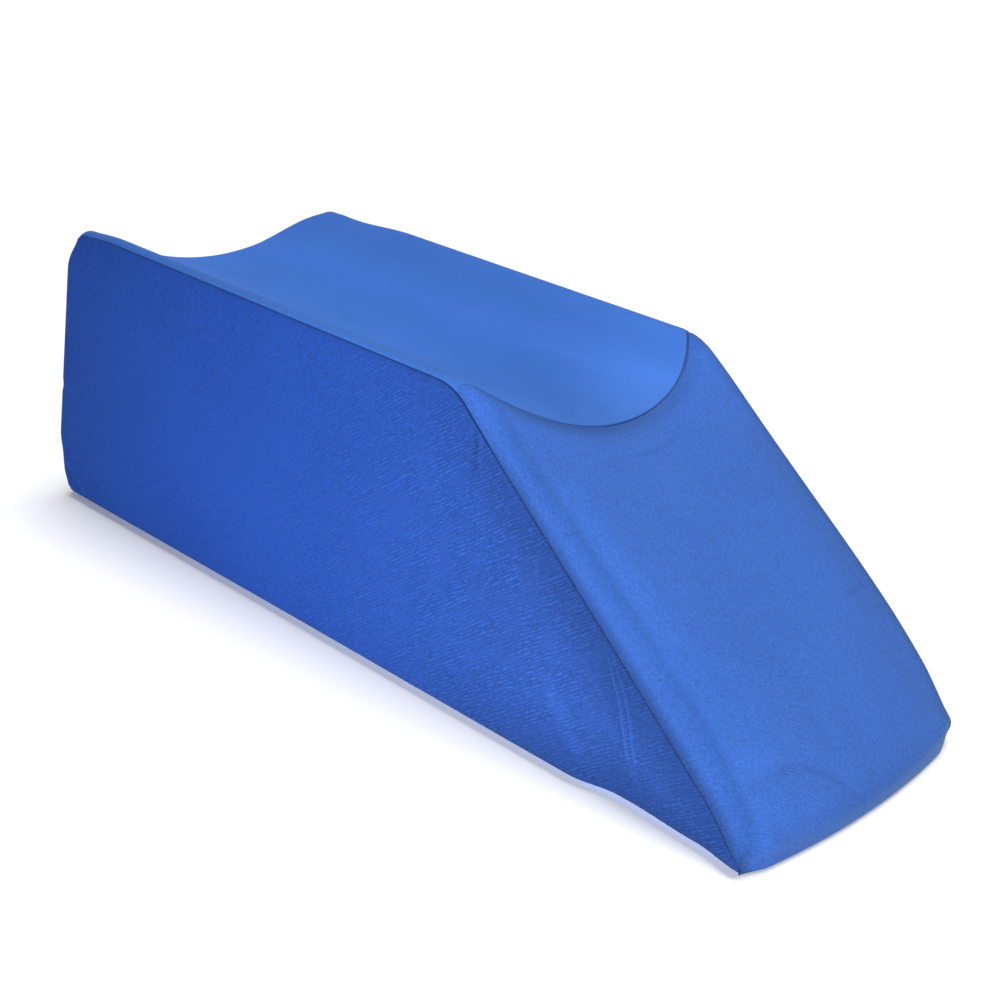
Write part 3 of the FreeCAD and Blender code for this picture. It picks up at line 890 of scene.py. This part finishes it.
def side_folds(n):
    """The double ridge above the base edge's step, a short pull below the knee and softer creases."""
    bow = n.times(n.span(n.z, 22 * MM, 62 * MM), n.span(n.z, 66 * MM, 94 * MM, 1.0, 0.0))
    bowed = n.times(bow, -3.5 * MM, n.x)
    double = ((186, 94), (222.5, 18), 2.2, 1.0), ((191, 93), (224.5, 24), 2.0, 1.0)
    folds = (
        ((150, 60), (190, 14), 9.0, 0.5),
        ((78, 180), (82, 148), 2.4, -0.5),
        ((82, 178), (87, 150), 3.0, 0.3),
        ((-303, 30), (-262, 2), 5.0, 0.4),
        ((-312, 84), (-284, 79), 3.5, 0.3),
    )
    return ridges(n, n.x, n.z, folds, ridges(n, bowed, n.z, double))


def slope_folds(n):
    """The arch above the toe and two faint creases."""
    share = n.math("MAXIMUM", n.times(n.y, 12.5, 1.125), 0.0)
    bend = n.times(n.math("POWER", share, 3.0), 27 * MM, 280 * MM)
    ahead = n.math("SUBTRACT", bend, n.x)
    line = n.span(n.math("ABSOLUTE", ahead), 0.0, 3.5 * MM, 1.0, 0.0)
    hollow = n.span(n.math("ABSOLUTE", n.math("SUBTRACT", ahead, 9 * MM)), 0.0, 11 * MM, 1.0, 0.0)
    reach = n.times(n.span(n.y, -114 * MM, -88 * MM), n.span(n.y, -22 * MM, 2 * MM, 1.0, 0.0))
    height = n.times(hollow, 0.16, n.times(line, -0.28))
    folds = (
        ((123, -22), (116, 34), 3.0, -0.3),
        ((229, 66), (223, 106), 3.0, -0.3),
        ((96, -64), (92, -40), 2.4, 0.2),
    )
    return ridges(n, n.x, n.y, folds, n.times(reach, height))


def rest_folds(n):
    """Small puckers that run away from the curved seam, and a soft line along the trough."""
    folds = (
        ((84, -20), (60, -8), 5.0, 0.2),
        ((88, -6), (62, 12), 5.0, -0.15),
        ((88, 14), (66, 30), 6.0, 0.2),
        ((80, -48), (52, -40), 5.0, 0.15),
        ((-40, 52), (40, 58), 9.0, 0.12),
    )
    return ridges(n, n.x, n.y, folds)


def rear_folds(n):
    """Slack creases above the zip's two ends."""
    folds = (
        ((-104, 34), (-70, 62), 5.0, 0.3),
        ((102, 36), (74, 70), 5.0, 0.3),
        ((-92, 30), (-40, 42), 4.0, -0.25),
    )
    return ridges(n, n.y, n.z, folds)


def cover_cloth(name, turn, tone, dashes, folds, painted_shade, front=None, grain=1.0, sheen=0.2):
    """Brushed stretch knit: rows of short slanted dashes over a fine grain.

    turn, in degrees, lays object coordinates so that X runs along the dashes. tone is the mean colour, a lit or
    shaded copy of the knit's colour as painted light, and front the copy it turns to at the front, if any, as painted
    sheen. dashes, folds and painted_shade say how plainly the dashes stand out at a place, 0 to 1, how high its small
    folds rise, and how much painted shade darkens it. The folds' crests are also painted lighter and their hollows
    darker: painted light and shade.
    """
    n = Nodes(f"cover_knit_{name}")
    laid = n.add("Mapping", {"Vector": n.place, "Rotation": [radians(a) for a in turn]}).outputs[0]
    long = n.stretched(laid, (0.3, 1.0, 1.0))
    drift = n.times(n.noise(long, 200.0), 4.0 * MM)
    row = n.math("ADD", n.add("SeparateXYZ", {0: laid}).outputs["Y"], drift)
    stroke = n.span(n.math("PINGPONG", row, 1.05 * MM), 0.15 * MM, 0.9 * MM)
    short = n.stretched(laid, (0.5, 1.0, 1.0))
    uneven = n.span(n.noise(short, 520.0), 0.38, 0.6, 0.05, 1.0)
    patch = n.span(n.noise(laid, 55.0), 0.3, 0.62, 0.35, 1.0)
    mask = n.times(dashes(n), patch)
    dash = n.times(n.times(stroke, uneven), mask)
    fine = n.noise(laid, 1500.0, 3.0)
    weave = n.noise(laid, 620.0)
    mottle = n.noise(n.place, 9.0, 3.0)
    speck = n.add("TexVoronoi", {"Vector": n.place, "Scale": 26.0}, distance="EUCLIDEAN").outputs["Distance"]
    speck = n.span(speck, 0.018, 0.03, 1.0, 0.0)
    fold = folds(n)
    seam = n.add("Attribute", attribute_name="seam_gap").outputs["Fac"]
    crease = n.span(seam, 0.2 * MM, 0.8 * MM, 1.0, 0.0)

    shade = 0.5
    for part, weight in ((fine, 0.3 * grain), (weave, 0.42 * grain), (mottle, 0.3)):
        shade = n.times(n.math("SUBTRACT", part, 0.5), weight, shade)
    # Fold height also lightens the folds' crests and darkens their hollows: painted light and shade.
    for part, weight in ((dash, 0.55), (mask, -0.15), (fold, 0.35)):
        shade = n.times(part, weight, shade)
    # Towards the front the colour turns to the front copy, where one is given: painted sheen.
    behind, ahead = (
        n.mix(shade, *((*(share * c for c in own), 1) for share in (0.5, 1.5))) for own in (tone, front or tone)
    )
    colour = n.mix(n.span(n.x, -0.12, 0.2), behind, ahead)
    # Painted shade: the colour is darkened towards black by the painted_shade share at each place.
    colour = n.mix(painted_shade(n, seam), colour, (0, 0, 0, 1))
    colour = n.mix(n.times(speck, 0.35), colour, NAVY)
    # A thin dark line along each seam: the stitches' dark thread, and painted shade in the seam's groove.
    colour = n.mix(n.times(crease, 0.7), colour, NAVY)
    height = n.times(fine, 0.35 * grain, n.times(weave, 0.5 * grain))
    normal = n.bump(fold, 0.9 * MM, n.bump(dash, 0.28 * MM, n.bump(height, 0.16 * MM)))
    n.shade(Base_Color=colour, Normal=normal, Roughness=n.span(fine, 0.2, 0.8, 0.68, 0.86))
    n.shade(Specular_IOR_Level=0.06, Sheen_Weight=sheen, Sheen_Roughness=0.42)
    n.shade(Sheen_Tint=(0.5, 0.8, 1.0, 1))
    return n.material


NAVY = (0.006, 0.022, 0.12, 1)
# Painted light: one knit colour in lit and shaded copies, lightest on the rest, darker on the slope, darkest on sides
# and rear.
SHADED_TONE = (0.0095, 0.044, 0.237)
# Painted sheen: a greyer copy that the side's colour turns to towards its front.
SIDE_FRONT_SHEEN_TONE = (0.0125, 0.042, 0.183)
SLOPE_HALF_LIT_TONE = (0.031, 0.102, 0.396)
REST_LIT_TONE = (0.044, 0.152, 0.548)


def side_dashes(n):
    """Plain on the front part of a side, faint towards the rear."""
    return n.span(n.x, -0.14, 0.09, 0.1, 1.0)


def slope_dashes(n):
    """Faint, and only towards the toe's near corner."""
    return n.times(n.span(n.x, 0.19, 0.29), n.span(n.y, -0.09, 0.07, 0.35, 0.08))


def faint_dashes(n):
    return n.span(n.x, -0.3, 0.1, 0.04, 0.1)


def side_painted_shade(n, seam):
    """Painted shade: darker towards the slope's seam and the toe."""
    near = n.span(seam, 2 * MM, 48 * MM, 0.32, 0.0)
    return n.times(near, n.span(n.x, 0.02, 0.2, 0.1, 1.0))


def slope_painted_shade(n, seam):
    """Painted shade: darker on the rolls along the sides, beside the seams, over the toe and a little towards it."""
    roll = n.span(n.math("ABSOLUTE", n.y), HALF - 22 * MM, HALF - 3 * MM, 0.0, 0.32)
    roll = n.math("ADD", roll, n.span(seam, 0.5 * MM, 9 * MM, 0.26, 0.0))
    roll = n.times(roll, n.span(n.x, 0.04, 0.12, 0.45, 1.0))
    roll = n.math("MAXIMUM", roll, n.span(n.z, 3 * MM, 24 * MM, 0.25, 0.0))
    return n.math("ADD", roll, n.span(n.x, 0.08, 0.26, 0.0, 0.12))


def rest_painted_shade(n, seam):
    """Painted shade: darker on the right crest's roll, up the far wall and a little where the trough meets the slope.
    """
    right = n.span(n.y, 4 * MM - HALF, 14 * MM - HALF, 0.42, 0.0)
    front = n.times(n.span(n.x, -0.03, 0.08, 0.0, 0.1), n.span(n.y, -60 * MM, 10 * MM))
    far = n.math("MAXIMUM", front, n.span(n.y, 48 * MM, 100 * MM, 0.0, 0.27))
    return n.math("ADD", right, far)


# Painted shade: darker beside the seams.
def rear_painted_shade(n, seam):
    return n.span(seam, 1 * MM, 6 * MM, 0.12, 0.0)


cloths = {
    "side": cover_cloth(
        "side", (90, 0, 38), SHADED_TONE, side_dashes, side_folds, side_painted_shade,
        front=SIDE_FRONT_SHEEN_TONE, grain=1.8, sheen=0.03,
    ),
    "slope": cover_cloth(
        "slope", (0, -degrees(SLOPE), -60), SLOPE_HALF_LIT_TONE, slope_dashes, slope_folds, slope_painted_shade,
        grain=1.9, sheen=0.14,
    ),
    "rest": cover_cloth("rest", (0, 0, 0), REST_LIT_TONE, faint_dashes, rest_folds, rest_painted_shade, grain=0.9, sheen=0.14),
    "rear": cover_cloth("rear", (0, 90, 0), SHADED_TONE, faint_dashes, rear_folds, rear_painted_shade),
}


def paint(material, *pieces):
    for piece in pieces:
        piece.data.materials.clear()
        piece.data.materials.append(material)


CLOTH_OF = {"trough_panel": "rest", "base_panel": "rest", "incline_panel": "slope"}
for name, piece in panels.items():
    paint(cloths[CLOTH_OF.get(name, name.split("_")[0])], piece)


def thread_material(name, dark, light):
    """Spun polyester thread: a twist along it and a little fuzz."""
    n = Nodes(name)
    twist = n.add("TexWave", {"Vector": n.place, "Scale": 900.0, "Distortion": 3.0}, bands_direction="DIAGONAL")
    fuzz = n.noise(n.place, 2500.0)
    shade = n.times(twist.outputs["Fac"], fuzz)
    n.shade(Base_Color=n.mix(shade, dark, light), Normal=n.bump(twist.outputs["Fac"], 0.06 * MM))
    n.shade(Roughness=n.span(fuzz, 0.2, 0.8, 0.5, 0.75), Sheen_Weight=0.2, Specular_IOR_Level=0.4)
    return n.material


paint(thread_material("seam_thread_navy", (0.004, 0.014, 0.075, 1), (0.014, 0.05, 0.26, 1)), seam_thread)
paint(thread_material("topstitch_thread", (0.012, 0.05, 0.3, 1), (0.04, 0.14, 0.62, 1)), zip_topstitch, tacks)


def foam_material():
    n = Nodes("open_cell_foam")
    cells = n.add("TexVoronoi", {"Vector": n.place, "Scale": 700.0}, feature="DISTANCE_TO_EDGE").outputs["Distance"]
    tone = n.noise(n.place, 14.0, 3.0)
    colour = n.mix(n.span(tone, 0.3, 0.7), (0.72, 0.66, 0.5, 1), (0.84, 0.8, 0.68, 1))
    colour = n.mix(n.span(cells, 0.02, 0.3, 0.45, 0.0), colour, (0.4, 0.33, 0.2, 1))
    n.shade(Base_Color=colour, Normal=n.bump(cells, 0.6 * MM), Roughness=n.span(tone, 0.2, 0.8, 0.85, 0.97))
    n.shade(Specular_IOR_Level=0.15)
    return n.material


paint(foam_material(), foam)


def tape_material():
    """Woven zip tape with herringbone ribs."""
    n = Nodes("zip_tape_weave")
    slant = n.math("ADD", n.y, n.math("PINGPONG", n.z, 1.5 * MM))
    ribs = n.span(n.math("PINGPONG", slant, 0.36 * MM), 0.0, 0.36 * MM)
    fuzz = n.noise(n.place, 1800.0)
    shade = n.times(fuzz, 0.3, n.times(ribs, 0.7))
    n.shade(Base_Color=n.mix(shade, (0.008, 0.036, 0.21, 1), (0.03, 0.12, 0.55, 1)))
    n.shade(Normal=n.bump(ribs, 0.12 * MM), Roughness=n.span(fuzz, 0.2, 0.8, 0.6, 0.8), Sheen_Weight=0.15)
    return n.material


def coil_material():
    """Dyed nylon monofilament: smooth, slightly clear, lightly scuffed."""
    n = Nodes("zip_coil_nylon")
    scuff = n.noise(n.place, 420.0, 3.0)
    n.shade(Base_Color=n.mix(n.span(scuff, 0.4, 0.75), (0.014, 0.06, 0.36, 1), (0.05, 0.16, 0.62, 1)))
    n.shade(Roughness=n.span(scuff, 0.3, 0.75, 0.28, 0.5), Normal=n.bump(scuff, 0.02 * MM))
    n.shade(Subsurface_Weight=0.05, Specular_IOR_Level=0.5)
    return n.material


def metal_material():
    """Nickel-plated zinc with fine handling scratches and duller rubbed patches."""
    n = Nodes("zip_slider_nickel")
    scratch = n.noise(n.stretched(n.place, (1.0, 0.06, 1.0)), 3800.0)
    rub = n.noise(n.place, 260.0, 3.0)
    n.shade(Base_Color=n.mix(n.span(rub, 0.4, 0.7), (0.62, 0.61, 0.58, 1), (0.5, 0.48, 0.45, 1)), Metallic=1.0)
    n.shade(Roughness=n.span(rub, 0.35, 0.7, 0.22, 0.42), Normal=n.bump(scratch, 0.012 * MM))
    return n.material


paint(tape_material(), *tapes.values())
paint(coil_material(), *coils.values())
paint(metal_material(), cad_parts["zip_slider"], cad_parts["zip_pull"])

# ---- put on the frame

for piece, nodes, slot in (
    *((piece, [name], "cover_fabric") for name, piece in panels.items()),
    (foam, ["foam_core"], "core_foam"),
    (tapes["zip_tape_upper"], ["zip_tape_upper"], "zip_tape"),
    (tapes["zip_tape_lower"], ["zip_tape_lower"], "zip_tape"),
    (coils["zip_coil_upper"], ["zip_coil_upper"], "zip_coil"),
    (coils["zip_coil_lower"], ["zip_coil_lower"], "zip_coil"),
    (tacks, ["zip_bar_tacks"], "tack_thread"),
    (seam_thread, [], "tack_thread"),
    (zip_topstitch, [], "tack_thread"),
):
    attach(piece, "pillow")
    if nodes:
        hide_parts(*nodes)


def cut_size(grid):
    """A panel's widest and longest measure along the cloth, and its area, in metres."""
    across = np.linalg.norm(np.diff(grid, axis=1), axis=2).sum(axis=1).max()
    down = np.linalg.norm(np.diff(grid, axis=0), axis=2).sum(axis=0).max()
    a = np.cross(grid[1:, :-1] - grid[:-1, :-1], grid[:-1, 1:] - grid[:-1, :-1])
    b = np.cross(grid[1:, :-1] - grid[1:, 1:], grid[:-1, 1:] - grid[1:, 1:])
    return across, down, (np.linalg.norm(a, axis=2).sum() + np.linalg.norm(b, axis=2).sum()) / 2


for name, piece in panels.items():
    across, down, area = (float(v) for v in cut_size(grooved[name]))

for node, piece in tapes.items():
    low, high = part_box(node)

# ---- stage, light and camera


def sweep():
    """A round studio floor that curves up into a wall all the way round."""
    bend, flat, wall = 3.0, 12.0, 3.2
    turn = np.linspace(0, pi / 2, 12)
    radii = np.concatenate([[0.5, 2, 5, 9], flat - bend + bend * np.sin(turn), [flat]])
    heights = np.concatenate([[0, 0, 0, 0], bend - bend * np.cos(turn), [wall]])
    around = -np.arange(96) * 2 * pi / 96
    level = np.repeat(heights[:, None], 96, axis=1)
    rings = np.stack([radii[:, None] * np.cos(around), radii[:, None] * np.sin(around), level], axis=-1)
    points, faces = tubes(rings[None])
    return mesh_object("studio_sweep", points, faces[:-1])  # all but the cap across the top


WORLD_LIGHT, OVERHEAD_LIGHT, SIDE_LIGHT, PAPER_GLOW = 0.17, 2.9, 230, 0.08

floor = sweep()
paper = Nodes("studio_paper")
grain = paper.noise(paper.place, 900.0)
paper.shade(Base_Color=paper.mix(grain, (0.88, 0.88, 0.88, 1), (0.9, 0.9, 0.9, 1)), Roughness=0.95)
paper.shade(Emission_Color=(1, 1, 1, 1), Emission_Strength=PAPER_GLOW, Specular_IOR_Level=0.1)
paint(paper.material, floor)

world = bpy.data.worlds.new("studio")
world.use_nodes = True
sky = world.node_tree.nodes["Background"].inputs
sky["Color"].default_value, sky["Strength"].default_value = (1, 1, 1, 1), WORLD_LIGHT
bpy.context.scene.world = world


def lamp(name, kind, place, target, energy, **settings):
    light = bpy.data.lights.new(name, kind)
    light.energy = energy
    for key, value in settings.items():
        setattr(light, key, value)
    obj = linked(name, light)
    obj.location = place
    obj.rotation_euler = (Vector(target) - Vector(place)).to_track_quat("-Z", "Y").to_euler()


lamp("overhead", "SUN", (-0.3, 0.5, 4.0), (0, 0, 0), OVERHEAD_LIGHT, angle=radians(45))
SPREAD = {"spot_size": radians(40), "spot_blend": 1.0, "shadow_soft_size": 0.25}
lamp("side_spot", "SPOT", (0.75, -1.6, 0.27), (0.2, -0.12, 0.06), SIDE_LIGHT, **SPREAD)

TURN, RISE, ROLL = (radians(d) for d in (38.2, 21.4, 8.6))
DISTANCE, PAN, LIFT, LENS = 1.1001, 0.0194, 0.0729, 58.37
back = Vector((sin(TURN) * cos(RISE), -cos(TURN) * cos(RISE), sin(RISE)))
level = Vector((cos(TURN), sin(TURN), 0))
upright = back.cross(level)
right = cos(ROLL) * level + sin(ROLL) * upright
up = -sin(ROLL) * level + cos(ROLL) * upright
camera_data = bpy.data.cameras.new("camera")
camera_data.lens = LENS
camera_data.sensor_width = 36
camera = linked("camera", camera_data)
place = right * PAN + up * LIFT + back * DISTANCE + Vector((REAR + 0.3, 0, 0))
camera.matrix_world = Matrix.Translation(place) @ Matrix((right, up, back)).transposed().to_4x4()
bpy.context.scene.camera = camera
bpy.context.scene.view_settings.view_transform = "Standard"
